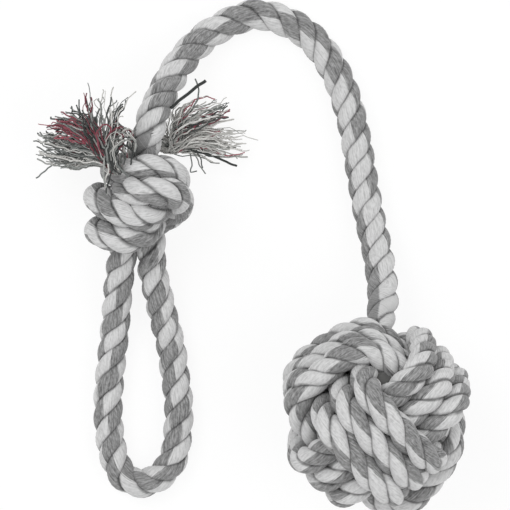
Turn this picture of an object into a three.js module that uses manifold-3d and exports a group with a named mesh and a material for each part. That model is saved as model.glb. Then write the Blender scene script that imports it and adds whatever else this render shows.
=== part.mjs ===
// Rope throw toy: one laid rope with a wound ball, a free line, and a knot that ties a hand loop.
// Millimetres, +Z up. The toy lies flat on Z = 0, with the ball to the right and the hand loop to the left.
import * as THREE from "three";
import { mergeVertices } from "three/addons/utils/BufferGeometryUtils.js";
import Module from "manifold-3d";

const wasm = await Module();
wasm.setup();

// Rope: the free stretches, and the same rope drawn tight in the ball and in the knot
const ROPE = 12;
const BALL_ROPE = 9.2;
const KNOT_ROPE = 9.1;
const LYING_FLAT = ROPE / 10; // how far a stretch that lies on the ground is pressed flat
const ROPE_STEP = 6.5;
const ROPE_SIDES = 12;
const WELD = 1e-4; // vertices closer than this are one

// Ball: three passes of three turns, wound round a core
const TURNS = 3;
const TURN_GAP = 1.1;
const TURN_PITCH = BALL_ROPE + TURN_GAP;
const BALL_PLACE = [49.8, -64];
const BALL_LEAN = [14.2, -12.7, 43.8]; // degrees about X, Y and Z
const BALL_BULGE = 0.05; // how much the middle of each face swells
const BALL_REST_CUT = 0.5;
const TURN_STEPS = 24;
const TURN_SIDES = 8;
const CORE_SEAT = 0.3;

// One pass of the ball, counted in pitches
const BEND_ACROSS = 1; // middle of the bend at each corner
const BEND_ALONG = 2;
const BEND_RADIUS = 1;
const START_ALONG = 1.8; // the first end lies just under its corner
const SHIFT_MIDDLE = 0.45; // how far a hidden leg has moved on to the next turn at its middle
const SHIFT_RATE = 0.36; // and how much more it moves on in one pitch
const TUCK = [[-1.7, -1.25], [-1, -0.4]]; // the last end, across and along, on its way in to the core

// Flexing places: a domed end turns in a cupped end
const FLEX_CLEARANCE = 0.5;
const FACE_GAP = 0.3;
const DOME_SEGMENTS = 16;
const LOOP_FLEX = { left: -53.6, right: -40.9, y: -5.6, height: 8.2 };
const LINE_FLEX = [0, 96.2, 0];
const BALL_FLEX = [51.2, -17.5, 14.4];

// Knot: its place on the ground, and the step and sides of its two parts
const KNOT_PLACE = [-46.8, 22.8];
const KNOT_STEP = 3.6;
const KNOT_SIDES = 8;
const LEG_TAPER = 14; // length over which a leg or an end thins to the rope of the knot

// Line where it leaves the ball, as distances from the ball's centre
const NECK_TIP = 2.55 * TURN_PITCH;
const NECK_FULL = 3.65 * TURN_PITCH;
const NECK_TIP_DIAMETER = 4;
const NECK_TAPER = 0.45; // share of the neck's length
const NECK_STEPS = 10;

// Tassels: tapered locks of unlaid yarn on a short root
const LOCK_STEPS = 5;
const LOCK_SIDES = 4;
const LOCK_TIP_DIAMETER = 1.2;
const LOCK_TAPER = 1.5; // above 1 a lock keeps its thickness longer
const LOCK_DROP = 0.45; // share of its drop that a lock has made half way along
const ROOT_STEP = 2.5;
const TAIL_SPLIT = [1.25, 0, -2.15]; // from the middle of the tail to the root of the right tassel
const TASSEL_ROOT = 4;

const LYING = ROPE / 2 - LYING_FLAT;
const radians = THREE.MathUtils.degToRad;

// Routes: chosen points, with heights counted from the middle of a rope that lies on the ground
const lineToKnot = [
  [-43.1, 48.4, 23.1], [-42.1, 54.4, 21.4], [-38.9, 60.8, 17.6], [-34, 69.2, 11.6], [-28.5, 77.8, 5.4],
  [-20.4, 86, 1], [-11.6, 92.8, 0],
];
const lineToBall = [
  [11.6, 94.6, 0], [20.2, 89.4, 0], [28, 79.8, 0], [34, 68.8, 0], [38, 57, 0], [40.6, 45, 0],
  [42.8, 32.8, 0], [45.8, 16, 1.4], [48.9, 2, 5], [50.4, -8.4, 9.8],
];
const loopRoute = [
  [-54.6, -14, 6.2], [-56, -24, 2.6], [-57.4, -35, 0.2], [-58.6, -48, 0], [-58.8, -60, 0],
  [-57.8, -71, 0], [-55.2, -81, 0], [-51, -88, 0], [-45.6, -90.6, 0], [-39.4, -88.4, 0],
  [-34.6, -81.6, 0], [-31.8, -72, 0], [-31, -60, 0], [-31.8, -48, 0], [-33.6, -35.6, 0.2],
  [-36.4, -24, 2.6], [-39.2, -14, 6.2],
];

// Knot: from the right leg to the line and from the left leg to the tail, measured from the knot's place
const legToLine = [
  [5.6, -17, 17.2], [5.8, -5, 16.6], [5.4, 5, 16.6], [2.4, 12.6, 16.8], [-3.6, 16, 17.2],
  [-9.4, 17, 21.2], [-11.4, 17.2, 28.5], [-8.2, 17, 35.2], [-1, 15.8, 38.6], [6, 14, 39.2],
  [13, 12.4, 36.8], [18.4, 10.4, 29.4], [18.8, 7.8, 19.5], [15, 4, 10.8], [8, -0.2, 6], [0, -3, 5.2],
  [-8, -4, 6.2], [-14.6, -3.6, 11.5], [-17.8, -3, 20.5], [-16.2, -4.4, 29.3], [-10.4, -6.4, 34.8],
  [-2.4, -7.8, 37], [3.8, -7.2, 37.2], [7.9, -3.4, 34.2], [8.8, 3.6, 30.2], [7.4, 10.2, 28.4],
  [5.4, 16, 28.1],
];
const lineExit = [4.4, 21.5, 28];
const legToTail = [
  [-5.2, -17, 17.2], [-5.4, -8, 16.8], [-6.6, -1.4, 17.4], [-9.2, 3, 21.5], [-10.6, 3.8, 28.5],
  [-7.8, 3.4, 36], [-0.5, 3, 41.2], [6.5, 3, 43], [13.4, 2.4, 41], [19.2, 0.2, 32.8], [19.8, -2.8, 22],
  [16, -6.8, 12], [8.5, -11.4, 6.4], [0, -13.6, 5.2], [-8, -14.6, 6.2], [-14.3, -14.2, 11.5],
  [-17.2, -13.8, 20.5], [-15, -14.6, 28.4], [-8.5, -16.6, 32.4], [-1.6, -17.4, 32.6], [3.6, -14.8, 30.4],
  [4.4, -9, 26.8], [1.4, -2.6, 26.4], [-0.5, 2.6, 27.2],
];
const tailEnd = [-1.4, 7, 27.8];

// Tassel locks: heading in degrees, how far it turns on the way to the tip, length, and the tip's height
const leftLocks = [
  [182, 9, 29, 8], [178, 5, 28, 13], [172, 4, 31, 18], [167, 4, 30, 10], [162, 2, 32, 17],
  [156, 0, 31, 12], [149, 0, 29, 22], [141, 0, 27, 18], [132, -2, 26, 28], [122, -4, 26, 24],
  [113, -6, 29, 30], [104, -6, 31, 25], [95, -6, 30, 33], [84, -8, 27, 30],
];
const rightLocks = [
  [-18, -14, 20, 2], [-12, -6, 27, 3], [-6, -3, 29, 6], [0, -4, 30, 3], [7, 0, 28, 9], [14, 2, 31, 4],
  [22, 3, 28, 11], [30, 3, 30, 4], [40, 3, 26, 8], [50, 4, 28, 3], [60, 3, 28, 10], [70, 4, 26, 4],
];
const leftRootRoute = [[-52, 32.6, 36], [-54, 33.4, 41]];
const leftRoot = [-56.3, 36.3, 45.5];
const rightRootRoute = [[-48.4, 43.4, 22.4], [-46, 47.4, 16.5], [-39.5, 46, 12.5]];
const rightRoot = [-32.5, 43, 12];

function vectors(points, lift = 0) {
  return points.map(([x, y, z]) => new THREE.Vector3(x, y, z + lift));
}

function onKnot([across, along, height]) {
  return new THREE.Vector3(KNOT_PLACE[0] + across, KNOT_PLACE[1] + along, height);
}

function toSolid(geometry) {
  const bare = geometry.index ? geometry.toNonIndexed() : geometry.clone();
  bare.deleteAttribute("normal");
  bare.deleteAttribute("uv");
  const merged = mergeVertices(bare, WELD);
  return new wasm.Manifold(
    new wasm.Mesh({
      numProp: 3,
      vertProperties: merged.attributes.position.array,
      triVerts: new Uint32Array(merged.index.array),
    }),
  );
}

function toGeometry(solid) {
  const { vertProperties, triVerts } = solid.getMesh();
  const geometry = new THREE.BufferGeometry();
  geometry.setAttribute("position", new THREE.BufferAttribute(vertProperties, 3));
  geometry.setIndex(new THREE.BufferAttribute(triVerts, 1));
  geometry.computeVertexNormals();
  return geometry;
}

// A free stretch of rope, round and of one thickness
function freeRope(points, diameter) {
  const path = new THREE.CatmullRomCurve3(points);
  const section = new THREE.Shape().absarc(0, 0, diameter / 2, 0, 2 * Math.PI);
  return toSolid(
    new THREE.ExtrudeGeometry(section, {
      steps: Math.ceil(path.getLength() / ROPE_STEP),
      curveSegments: ROPE_SIDES / 2,
      bevelEnabled: false,
      extrudePath: path,
    }),
  );
}

// A stretch whose thickness changes along it: a ring of points at each step, closed at both ends
function shapedRope(points, diameterAt, steps, sides) {
  const path = new THREE.CatmullRomCurve3(points);
  const frames = path.computeFrenetFrames(steps, false);
  const positions = [];
  for (let step = 0; step <= steps; step += 1) {
    const middle = path.getPointAt(step / steps);
    for (let side = 0; side < sides; side += 1) {
      const angle = (2 * Math.PI * side) / sides;
      const outwards = frames.normals[step].clone().multiplyScalar(Math.cos(angle));
      outwards.addScaledVector(frames.binormals[step], Math.sin(angle));
      positions.push(...middle.clone().addScaledVector(outwards, diameterAt(step / steps) / 2).toArray());
    }
  }
  const faces = [];
  const last = steps * sides;
  for (let side = 0; side < sides; side += 1) {
    const next = (side + 1) % sides;
    for (let ring = 0; ring < last; ring += sides) {
      faces.push(ring + side, ring + next, ring + sides + next);
      faces.push(ring + side, ring + sides + next, ring + sides + side);
    }
    if (side > 0 && next > 0) {
      faces.push(0, next, side);
      faces.push(last, last + side, last + next);
    }
  }
  const geometry = new THREE.BufferGeometry();
  geometry.setAttribute("position", new THREE.BufferAttribute(new Float32Array(positions), 3));
  geometry.setIndex(faces);
  return toSolid(geometry);
}

// The least gap of a rope to itself, between points that lie more than two diameters apart along it
function printLeastGap(name, points, diameter) {
  const path = new THREE.CatmullRomCurve3(points);
  const count = Math.ceil(path.getLength());
  const dots = path.getSpacedPoints(count);
  const apart = Math.ceil((2 * diameter * count) / path.getLength());
  let least = Infinity;
  for (let i = 0; i < dots.length; i += 1) {
    for (let j = i + apart; j < dots.length; j += 1) {
      least = Math.min(least, dots[i].distanceTo(dots[j]));
    }
  }
  console.log(`${name}: least gap to itself ${(least - diameter).toFixed(2)} mm`);
}

function ballAt(place, diameter) {
  const sphere = new THREE.SphereGeometry(diameter / 2, DOME_SEGMENTS, DOME_SEGMENTS / 2);
  return toSolid(sphere.translate(...place.toArray()));
}

function restOnGround(solid) {
  return solid.trimByPlane([0, 0, 1], 0);
}

function domed(solid, places) {
  return places.reduce((whole, place) => whole.add(ballAt(place, ROPE)), solid);
}

function cupped(solid, places) {
  return places.reduce((whole, place) => whole.subtract(ballAt(place, ROPE + 2 * FLEX_CLEARANCE)), solid);
}

// One pass of the ball in its own plane: outer legs across the top and bottom, inner legs down the sides.
// Each turn moves on by one pitch along the inner leg that the next pass covers.
function passPoints() {
  const outer = BEND_ALONG + BEND_RADIUS;
  const inner = BEND_ACROSS + BEND_RADIUS;
  const legMiddles = [[0, outer], [inner, 0], [0, -outer]];
  const bends = [[-1, 1, 180], [1, 1, 90], [1, -1, 0], [-1, -1, -90]];
  const firstOffset = -(TURNS - 1) / 2;
  const points = [[firstOffset, -inner, START_ALONG]];
  for (let turn = 0; turn < TURNS; turn += 1) {
    const offset = firstOffset + turn;
    bends.forEach(([across, along, heading], bend) => {
      for (const turned of [0, 45, 90]) {
        const angle = radians(heading - turned);
        const acrossBend = across * BEND_ACROSS + Math.cos(angle) * BEND_RADIUS;
        points.push([offset, acrossBend, along * BEND_ALONG + Math.sin(angle) * BEND_RADIUS]);
      }
      if (bend < legMiddles.length) points.push([offset, ...legMiddles[bend]]);
    });
    if (turn < TURNS - 1) {
      for (const along of [-1, 0, 1]) {
        points.push([offset + SHIFT_MIDDLE + SHIFT_RATE * along, -inner, along]);
      }
    } else {
      for (const [across, along] of TUCK) points.push([offset, across, along]);
    }
  }
  return points.map((point) => point.map((pitches) => pitches * TURN_PITCH));
}

const lean = new THREE.Euler(...BALL_LEAN.map(radians));

// A point of the ball's own frame, swelled towards the faces' middles and leaned as the ball lies
function leaned(x, y, z) {
  const point = new THREE.Vector3(x, y, z);
  const meanOverSphere = 3 / 5;
  const towardsFace = (x ** 4 + y ** 4 + z ** 4) / point.lengthSq() ** 2 - meanOverSphere;
  return point.multiplyScalar(1 + BALL_BULGE * towardsFace).applyEuler(lean);
}

const passOrders = {
  ball_pass_first: ([a, b, c]) => leaned(a, b, c),
  ball_pass_second: ([a, b, c]) => leaned(b, c, a),
  ball_pass_third: ([a, b, c]) => leaned(c, a, b),
};
const passRoutes = Object.entries(passOrders).map(([name, order]) => [name, passPoints().map(order)]);
const lowestTurn = Math.min(...passRoutes.flatMap(([, route]) => route.map((point) => point.z)));
const ballCentre = new THREE.Vector3(...BALL_PLACE, BALL_ROPE / 2 - BALL_REST_CUT - lowestTurn);

const shades = {
  pale: new THREE.Color("#b9b6b0"),
  mid: new THREE.Color("#8f8d89"),
  dark: new THREE.Color("#5d5c59"),
};
const toy = new THREE.Group();

function addPiece(name, solid, colour) {
  const material = new THREE.MeshStandardMaterial({ color: colour, roughness: 0.9, metalness: 0 });
  const mesh = new THREE.Mesh(toGeometry(solid), material);
  mesh.name = name;
  toy.add(mesh);
}

// Ball: the three passes, and the core that their ends seat on
function addBall() {
  let coreReach = Infinity;
  for (const [name, route] of passRoutes) {
    const points = route.map((point) => point.clone().add(ballCentre));
    const wound = shapedRope(points, () => BALL_ROPE, TURNS * TURN_STEPS, TURN_SIDES);
    const { vertProperties } = wound.getMesh();
    for (let i = 0; i < vertProperties.length; i += 3) {
      const vertex = new THREE.Vector3().fromArray(vertProperties, i);
      coreReach = Math.min(coreReach, vertex.distanceTo(ballCentre));
    }
    printLeastGap(name, points, BALL_ROPE);
    addPiece(name, restOnGround(wound), shades.pale);
  }
  addPiece("ball_core", ballAt(ballCentre, 2 * (coreReach - CORE_SEAT)), shades.dark);
}

// Line: from the corner of the ball, round the arch, to the knot
function addLine() {
  const outOfCorner = new THREE.Vector3(1, 1, -1).normalize().applyEuler(lean);
  const ballFlex = new THREE.Vector3(...BALL_FLEX).setZ(BALL_FLEX[2] + LYING);
  const lineFlex = new THREE.Vector3(...LINE_FLEX).setZ(LINE_FLEX[2] + LYING);
  const neck = [NECK_TIP, (NECK_TIP + NECK_FULL) / 2, NECK_FULL].map((reach) =>
    ballCentre.clone().addScaledVector(outOfCorner, reach),
  );
  const neckDiameter = (share) =>
    THREE.MathUtils.lerp(NECK_TIP_DIAMETER, ROPE, Math.min(1, share / NECK_TAPER));
  const neckRope = shapedRope([...neck, ballFlex], neckDiameter, NECK_STEPS, ROPE_SIDES);
  addPiece("ball_line_end", domed(neckRope, [ballFlex]), shades.mid);
  const ballHalf = freeRope([lineFlex, ...vectors(lineToBall, LYING), ballFlex], ROPE);
  addPiece("line_ball_half", restOnGround(cupped(ballHalf, [ballFlex, lineFlex])), shades.pale);
  const outOfKnot = onKnot(lineExit).sub(onKnot(legToLine.at(-1))).normalize();
  const knotEnd = onKnot(lineExit).addScaledVector(outOfKnot, FACE_GAP);
  const knotHalf = freeRope([knotEnd, ...vectors(lineToKnot, LYING), lineFlex], ROPE);
  addPiece("line_knot_half", restOnGround(domed(knotHalf, [lineFlex])), shades.pale);
}

// Knot: the doubled rope tied in an overhand knot, and the hand loop below it
function addKnotAndLoop() {
  const legTop = (x) => new THREE.Vector3(x, LOOP_FLEX.y, LOOP_FLEX.height + LYING);
  const leftFlex = legTop(LOOP_FLEX.left);
  const rightFlex = legTop(LOOP_FLEX.right);
  const knotParts = [
    ["knot_line_part", rightFlex, [...legToLine, lineExit], ROPE],
    ["knot_tail_part", leftFlex, [...legToTail, tailEnd], KNOT_ROPE],
  ];
  for (const [name, flex, route, endDiameter] of knotParts) {
    const points = [flex, ...route.map(onKnot)];
    const length = new THREE.CatmullRomCurve3(points).getLength();
    const diameterAt = (share) => {
      const fromLeg = (share * length) / LEG_TAPER;
      const fromEnd = ((1 - share) * length) / LEG_TAPER;
      if (fromLeg < 1) return THREE.MathUtils.lerp(ROPE, KNOT_ROPE, fromLeg);
      if (fromEnd < 1) return THREE.MathUtils.lerp(endDiameter, KNOT_ROPE, fromEnd);
      return KNOT_ROPE;
    };
    const tied = shapedRope(points, diameterAt, Math.ceil(length / KNOT_STEP), KNOT_SIDES);
    printLeastGap(name, points, KNOT_ROPE);
    addPiece(name, restOnGround(domed(tied, [flex])), shades.mid);
  }
  const loop = freeRope([leftFlex, ...vectors(loopRoute, LYING), rightFlex], ROPE);
  addPiece("hand_loop", restOnGround(cupped(loop, [leftFlex, rightFlex])), shades.pale);
}

// A lock of yarn: out of the root, then down to its tip
function lock(root, [heading, turn, length, height]) {
  const towards = (degrees, reach) => {
    const way = new THREE.Vector3(Math.cos(radians(degrees)), Math.sin(radians(degrees)), 0);
    return way.multiplyScalar(reach).add(root);
  };
  const middle = towards(heading, length / 2).setZ(THREE.MathUtils.lerp(root.z, height, LOCK_DROP));
  const tip = towards(heading + turn, length).setZ(height);
  const diameterAt = (share) => THREE.MathUtils.lerp(TASSEL_ROOT, LOCK_TIP_DIAMETER, share ** LOCK_TAPER);
  return shapedRope([root, middle, tip], diameterAt, LOCK_STEPS, LOCK_SIDES);
}

// Tassels: the tail parts into two roots, and each opens into a fan of locks
function addTassels() {
  const outOfTail = onKnot(tailEnd).sub(onKnot(legToTail.at(-1))).normalize();
  const split = new THREE.Vector3(...TAIL_SPLIT).projectOnPlane(outOfTail);
  const tail = onKnot(tailEnd).addScaledVector(outOfTail, FACE_GAP);
  const tassels = [
    ["tassel_left", -1, leftRootRoute, leftRoot, leftLocks],
    ["tassel_right", 1, rightRootRoute, rightRoot, rightLocks],
  ];
  for (const [name, side, route, rootPlace, locks] of tassels) {
    const start = tail.clone().addScaledVector(split, side);
    const straight = start.clone().addScaledVector(outOfTail, TASSEL_ROOT / 2);
    const root = new THREE.Vector3(...rootPlace);
    const points = [start, straight, ...vectors(route), root];
    const steps = Math.ceil(new THREE.CatmullRomCurve3(points).getLength() / ROOT_STEP);
    const neck = shapedRope(points, () => TASSEL_ROOT, steps, KNOT_SIDES);
    addPiece(name, locks.reduce((whole, each) => whole.add(lock(root, each)), neck), shades.dark);
  }
}

addBall();
addLine();
addKnotAndLoop();
addTassels();

// The origin is under the middle of the toy's box, on the ground
const middle = new THREE.Box3().setFromObject(toy).getCenter(new THREE.Vector3());
toy.position.set(-middle.x, -middle.y, 0);

export default toy;
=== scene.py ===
import math

import bmesh
import bpy
import numpy as np
from mathutils import Euler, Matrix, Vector


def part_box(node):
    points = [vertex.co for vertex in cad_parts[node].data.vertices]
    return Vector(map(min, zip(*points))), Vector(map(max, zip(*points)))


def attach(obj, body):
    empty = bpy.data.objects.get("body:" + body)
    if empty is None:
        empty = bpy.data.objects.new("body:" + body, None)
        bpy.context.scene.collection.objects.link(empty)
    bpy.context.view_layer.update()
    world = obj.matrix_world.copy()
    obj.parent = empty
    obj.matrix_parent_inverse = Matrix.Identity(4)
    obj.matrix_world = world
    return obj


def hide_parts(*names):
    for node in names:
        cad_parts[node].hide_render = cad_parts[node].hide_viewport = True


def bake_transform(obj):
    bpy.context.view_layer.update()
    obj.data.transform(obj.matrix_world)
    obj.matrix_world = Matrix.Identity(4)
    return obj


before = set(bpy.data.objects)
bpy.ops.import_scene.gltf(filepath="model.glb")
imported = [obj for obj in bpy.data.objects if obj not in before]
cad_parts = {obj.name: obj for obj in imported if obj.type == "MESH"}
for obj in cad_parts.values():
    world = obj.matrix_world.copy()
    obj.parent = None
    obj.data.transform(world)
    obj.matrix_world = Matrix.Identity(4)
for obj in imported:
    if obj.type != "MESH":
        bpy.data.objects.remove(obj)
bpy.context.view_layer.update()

# Rope toy: sizes in millimetres, as in the solids
MM = 0.001
LYING = 4.8
BALL_PLACE = (49.8, -64)
KNOT_PLACE = (-46.8, 22.8)
KNOT_AXIS_HEIGHT = 22
KNOT_CORE_RADIUS = 10

# Rope as it looks: its width where it lies free and where it is pulled tight
LINE_WIDTH = 12.7
LOOP_WIDTH = 12.0
KNOT_WIDTH = 11.8
BALL_WIDTH = 11.4
STRANDS = 3
STRAND_OFFSET = 0.44
STRAND_RADIUS = 0.56
STRAND_SIDES = 20
STRAND_APART = 0.1  # metres between the strands in the pattern of the yarn, so that no two look alike
GUIDE_STEP = 1.5
ROPE_STEP = 1.1

# Share of a strand's half width where the painted shade of the seam starts, on loose rope and on rope pulled
# tight
LOOSE_SEAM_SHADE = 0.77
TIGHT_SEAM_SHADE = 0.86

# Leaves: places along a path where the first strand lies uppermost, with the side of the rope that the pale
# yarns of each strand face there, in degrees to the right of straight up; each strand has two pale bands,
# opposite each other
UP = (0, 0, 1)
ROPE_LAY = 25.5
rope_leaves = [
    (37.3, (-30, 48, -15)), (123, (15, -85, 45)),
    (198.7, (50, 7, -73)), (251.8, (43, -33, -90)), (299.6, (32, -69, -109)), (350.2, (-2, -111, -144)),
    (458.5, (-35, -40, -15)), (549, (-5, 75, -10)),
    (614.1, (92, 113, -13)), (673.2, (54, 67, -67)), (724.8, (17, 16, -117)), (776.4, (-11, -25, -172)),
    (803.8, (-27, -41, -209)),
]
BALL_LAYS = (31, 25, 25)
ball_leaves = [
    [(38, (57, -40, 8)), (217.4, (20, -10, -35)), (411, (-5, -72, -65))],
    [
        (31, (-55, 0, 35)), (211.7, (60, -15, 20)), (395, (40, -75, 15)), (419, (85, -45, 15)),
        (492, (-15, 70, 75)),
    ],
    [
        (51, (-15, 70, 90)), (241, (-12, -18, 20)), (292, (70, 60, 0)), (416, (40, 90, 60)),
        (480, (20, 50, 100)),
    ],
]

# Ball: three passes of three turns, counted in pitches
PASS_TURNS = 3
TURN_PITCH = 10.3
BALL_LEAN = (14.2, -12.7, 43.8)
BALL_BULGE = 0.05
BEND_ACROSS = 1
BEND_ALONG = 2
BEND_RADIUS = 1
START_ALONG = 1.8
SHIFT_MIDDLE = 0.45
SHIFT_RATE = 0.36
TUCK = ((-1.7, -1.25), (-1, -0.4))
NECK_REACHES = (2.2, 3.1, 3.65)
PASS_SHIFT = (-1.2, 0, 0)
PASS_TURN = -4
CORNER_SHARE = 27 ** 0.5  # makes the product of a direction's three shares 1 at a corner of the ball
WADDING_MIDDLES = 17  # how far the wadding swells from the ball's middle behind the turns
WADDING_CORNERS = 29  # how far from the ball's middle the wadding shows in its corner gaps
ball_pushes = [
    (-0.15, 0.5, (0.93, -0.37, 0)), (0.08, 0.4, (-0.8, 0.6, 0)), (-0.06, 0.4, (-0.45, -0.9, 0)),
]

# Routes: chosen points, with heights counted from the middle of a rope that lies on the ground
line_route = [
    (-42.6, 45.2, 23.2), (-41.5, 49.2, 23), (-40.4, 55, 21.2), (-37.8, 61.1, 17.6), (-33.9, 69.3, 11.6),
    (-28.8, 77.8, 5.4), (-20.6, 86.5, 1), (-11.4, 92.4, 0), (0, 96.2, 0), (11.2, 93.8, 0), (19.9, 89, 0),
    (28.2, 80, 0), (34.1, 68.9, 0), (38, 57, 0), (40.6, 45, 0), (42.6, 32.8, 0), (45.6, 16, 1.4),
    (48.7, 2, 5), (50.2, -8.4, 9.8), (50.8, -17.5, 14.4),
]
loop_route = [
    (-53.6, -5.6, 8.2), (-54.6, -14, 6.2), (-55.5, -24, 2.6), (-56.6, -35, 0.2), (-58, -48, 0),
    (-58.8, -60, 0), (-58.2, -71, 0), (-56.2, -81.4, 0), (-51.9, -89.1, 0), (-45.6, -91.3, 0),
    (-38.8, -89, 0), (-32.9, -82, 0), (-31, -72, 0), (-30.5, -60, 0), (-32, -48, 0), (-33.8, -35.6, 0.2),
    (-36.8, -24, 2.6), (-39, -14, 6.2), (-40.9, -5.6, 8.2),
]

# Knot: points from the right leg to the line and from the left leg to the tail, from the knot's place
leg_to_line = [
    (5.6, -17, 17.2), (5.8, -7, 16.6), (5.2, 3, 16.6), (2, 10, 17), (-3.4, 12.4, 18.6), (-7.4, 11.6, 23.4),
    (-8.4, 10.4, 29.6), (-6, 9.6, 35), (-1.6, 9.7, 37.8), (3, 10.8, 38.6), (7.4, 11.2, 38.2),
    (11.4, 10.4, 36), (14.6, 8.6, 31), (15.4, 6.2, 23.6), (13.6, 3.4, 15.6), (9, 0.6, 9.6),
    (2.5, -1.6, 7), (-4.5, -2, 7.4), (-10.6, -1, 11.6), (-14.4, -0.2, 17.6), (-15.3, 0.2, 24.5),
    (-13.6, -1.6, 31), (-9.6, -4.4, 35), (-5.1, -6, 36.8), (0, -7.4, 37.2), (4.6, -7.2, 36.4),
    (7.6, -4.6, 33.6), (8.6, 0.6, 30.4), (6.8, 7, 28.6), (4, 13, 28.1),
]
line_exit = (3.4, 18.4, 28)
leg_to_tail = [
    (-5.2, -17, 17.2), (-5.6, -9, 16.6), (-5.4, -2.5, 18), (-5, 1.6, 23.5), (-4.4, 3, 30.5),
    (-2.6, 2.8, 37.5), (2, 2.3, 41.8), (7, 2.2, 43), (11.8, 2, 41.6), (15.6, 0.6, 36.4), (17, -1.6, 28.5),
    (15.8, -4.4, 19), (11.5, -7.4, 11.5), (5, -10.6, 7.2), (-2, -12.6, 6.2), (-8.6, -13.2, 8.4),
    (-13.2, -13, 14.5), (-15.1, -12.9, 21.5), (-13.6, -14, 28), (-9.6, -15.6, 31.6), (-4.5, -16.6, 32.6),
    (0, -15.6, 31.8), (3.8, -13.4, 29.6), (4.6, -9, 26.6), (3.4, -3, 25.5), (1.5, 2.6, 26.4),
]
tail_end = (-0.5, 7.5, 27.8)

# Tassel locks beyond the root: how many yarns, the share of dark red ones, how pale the others are, and
# points with heights from the ground
left_locks = [
    (34, 0.02, 0.5, [(-63.8, 36.8, 40), (-70.4, 36.6, 31), (-78, 38.4, 22), (-85.1, 41.8, 14)]),
    (34, 0.02, 0.45, [(-64.1, 38.7, 41), (-71.5, 40.1, 33), (-79, 42.3, 24), (-86.1, 44.5, 17)]),
    (28, 0.04, 0.4, [(-64.5, 40.6, 44), (-71.8, 42.8, 35), (-79.3, 45.4, 27), (-86, 47.1, 20)]),
    (34, 0.45, 0.45, [(-61.6, 40.6, 45), (-66.2, 45.4, 42), (-72.8, 48.4, 36), (-82.7, 49.1, 26)]),
    (34, 0.4, 0.2, [(-61.2, 41.3, 45), (-65.3, 47.3, 42), (-71.9, 51.1, 37), (-80.2, 52.5, 29)]),
    (24, 0.2, 0.1, [(-61.2, 41.7, 46), (-64.5, 48.9, 43), (-69.9, 53, 36), (-77.3, 54.4, 30)]),
    (22, 0.1, 0, [(-60.2, 41.2, 48), (-63.2, 47.2, 46), (-66, 53.7, 42), (-67.6, 62.2, 37)]),
    (12, 0.15, 0.2, [(-59.6, 41.7, 47), (-61.7, 48.6, 44), (-62.6, 54.8, 40), (-63.4, 60.4, 36)]),
    (9, 0.05, 0.55, [(-58.8, 41.7, 47), (-60.1, 49.6, 44), (-61.1, 57.9, 39), (-60.9, 65.2, 35)]),
    (7, 0.02, 0.55, [(-57.6, 41.7, 47), (-58.1, 50.3, 44), (-58.7, 57.7, 39), (-58.3, 65.4, 35)]),
    (12, 0.02, 0.4, [(-56.9, 41.7, 47), (-56.2, 49.1, 44), (-54, 55.9, 40), (-50.8, 60.2, 36)]),
    (20, 0.15, 0.45, [
        (-56.1, 41.7, 47), (-55, 47.7, 45), (-51.9, 50.9, 43), (-49.3, 47.9, 40), (-49.9, 41.7, 37),
    ]),
    (18, 0.1, 0.35, [
        (-55.6, 40, 46), (-53.2, 43.4, 45), (-50.3, 42.4, 43), (-49.8, 38, 41), (-51.6, 34.7, 40),
    ]),
    (18, 0.25, 0.3, [
        (-57.3, 40.9, 48), (-55.4, 44.6, 47), (-52.6, 46.2, 45), (-50.2, 44.4, 42), (-51.8, 39.6, 42),
    ]),
    (16, 0.3, 0.4, [
        (-58.8, 40.2, 48), (-58, 45.4, 47), (-55.4, 48.4, 46), (-53.4, 44.8, 45), (-55, 40.4, 46),
    ]),
]
right_locks = [
    (22, 0.25, 0.74, [(-31.4, 49.3, 14), (-28.2, 55.9, 18), (-22.2, 59.1, 17), (-14.3, 59.7, 12)]),
    (24, 0.15, 0.6, [(-31, 48.5, 14), (-25.8, 53.6, 17), (-18.7, 56.4, 15), (-9.2, 59.4, 9)]),
    (24, 0.1, 0.4, [(-30.6, 47.8, 13), (-24.2, 51.2, 16), (-17.1, 54.1, 14), (-8.4, 57.9, 8)]),
    (26, 0.2, 0.66, [(-29.8, 46.6, 13), (-22.7, 49.3, 15), (-15.5, 50.9, 13), (-9.2, 51.5, 8)]),
    (28, 0.01, 0.95, [(-28.3, 46.2, 13), (-20.3, 47.7, 14), (-13.1, 46.2, 11), (-3.6, 45.6, 5)]),
    (28, 0.01, 0.95, [(-27.5, 45, 13), (-18.7, 45.8, 13), (-11.6, 43.5, 9), (-2.4, 43.6, 4)]),
    (24, 0.01, 0.82, [(-27.1, 43.8, 12), (-18.7, 43, 11), (-11.6, 41.5, 8), (-5.6, 41.6, 4)]),
    (14, 0.02, 0.45, [(-26.7, 42.6, 11), (-19.5, 41.1, 9), (-13.2, 40, 6), (-7.2, 40, 3)]),
    (14, 0.02, 0.92, [(-32.2, 48.1, 14), (-32.2, 53.6, 17), (-30.9, 58.3, 18), (-27.4, 61.2, 16)]),
]
LOCK_TONE_SPREAD = 0.8
YARN_WIDTH = 0.75
YARN_SIDES = 5
YARN_APART = 3.0  # how far apart the yarns of a lock read the pattern of the waves
LOCK_OPENING = 2.0  # how late along its length a lock fans out
CRINKLES_PER_WAVE = 2.6
LENGTH_SEED = 23
GIRTH_SEED = 37
DYE_SEED = 11
RED_SEED = 53
TAIL_SPLIT = (1.25, 0, -2.15)
TAIL_STRAIGHT = 2
left_root_route = [(-52, 32.6, 36), (-54, 33.4, 41)]
left_root = (-56.3, 36.3, 45.5)
right_root_route = [(-48.4, 43.4, 22.4), (-46, 47.4, 16.5), (-39.5, 46, 12.5)]
right_root = (-32.5, 43, 12)

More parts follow.
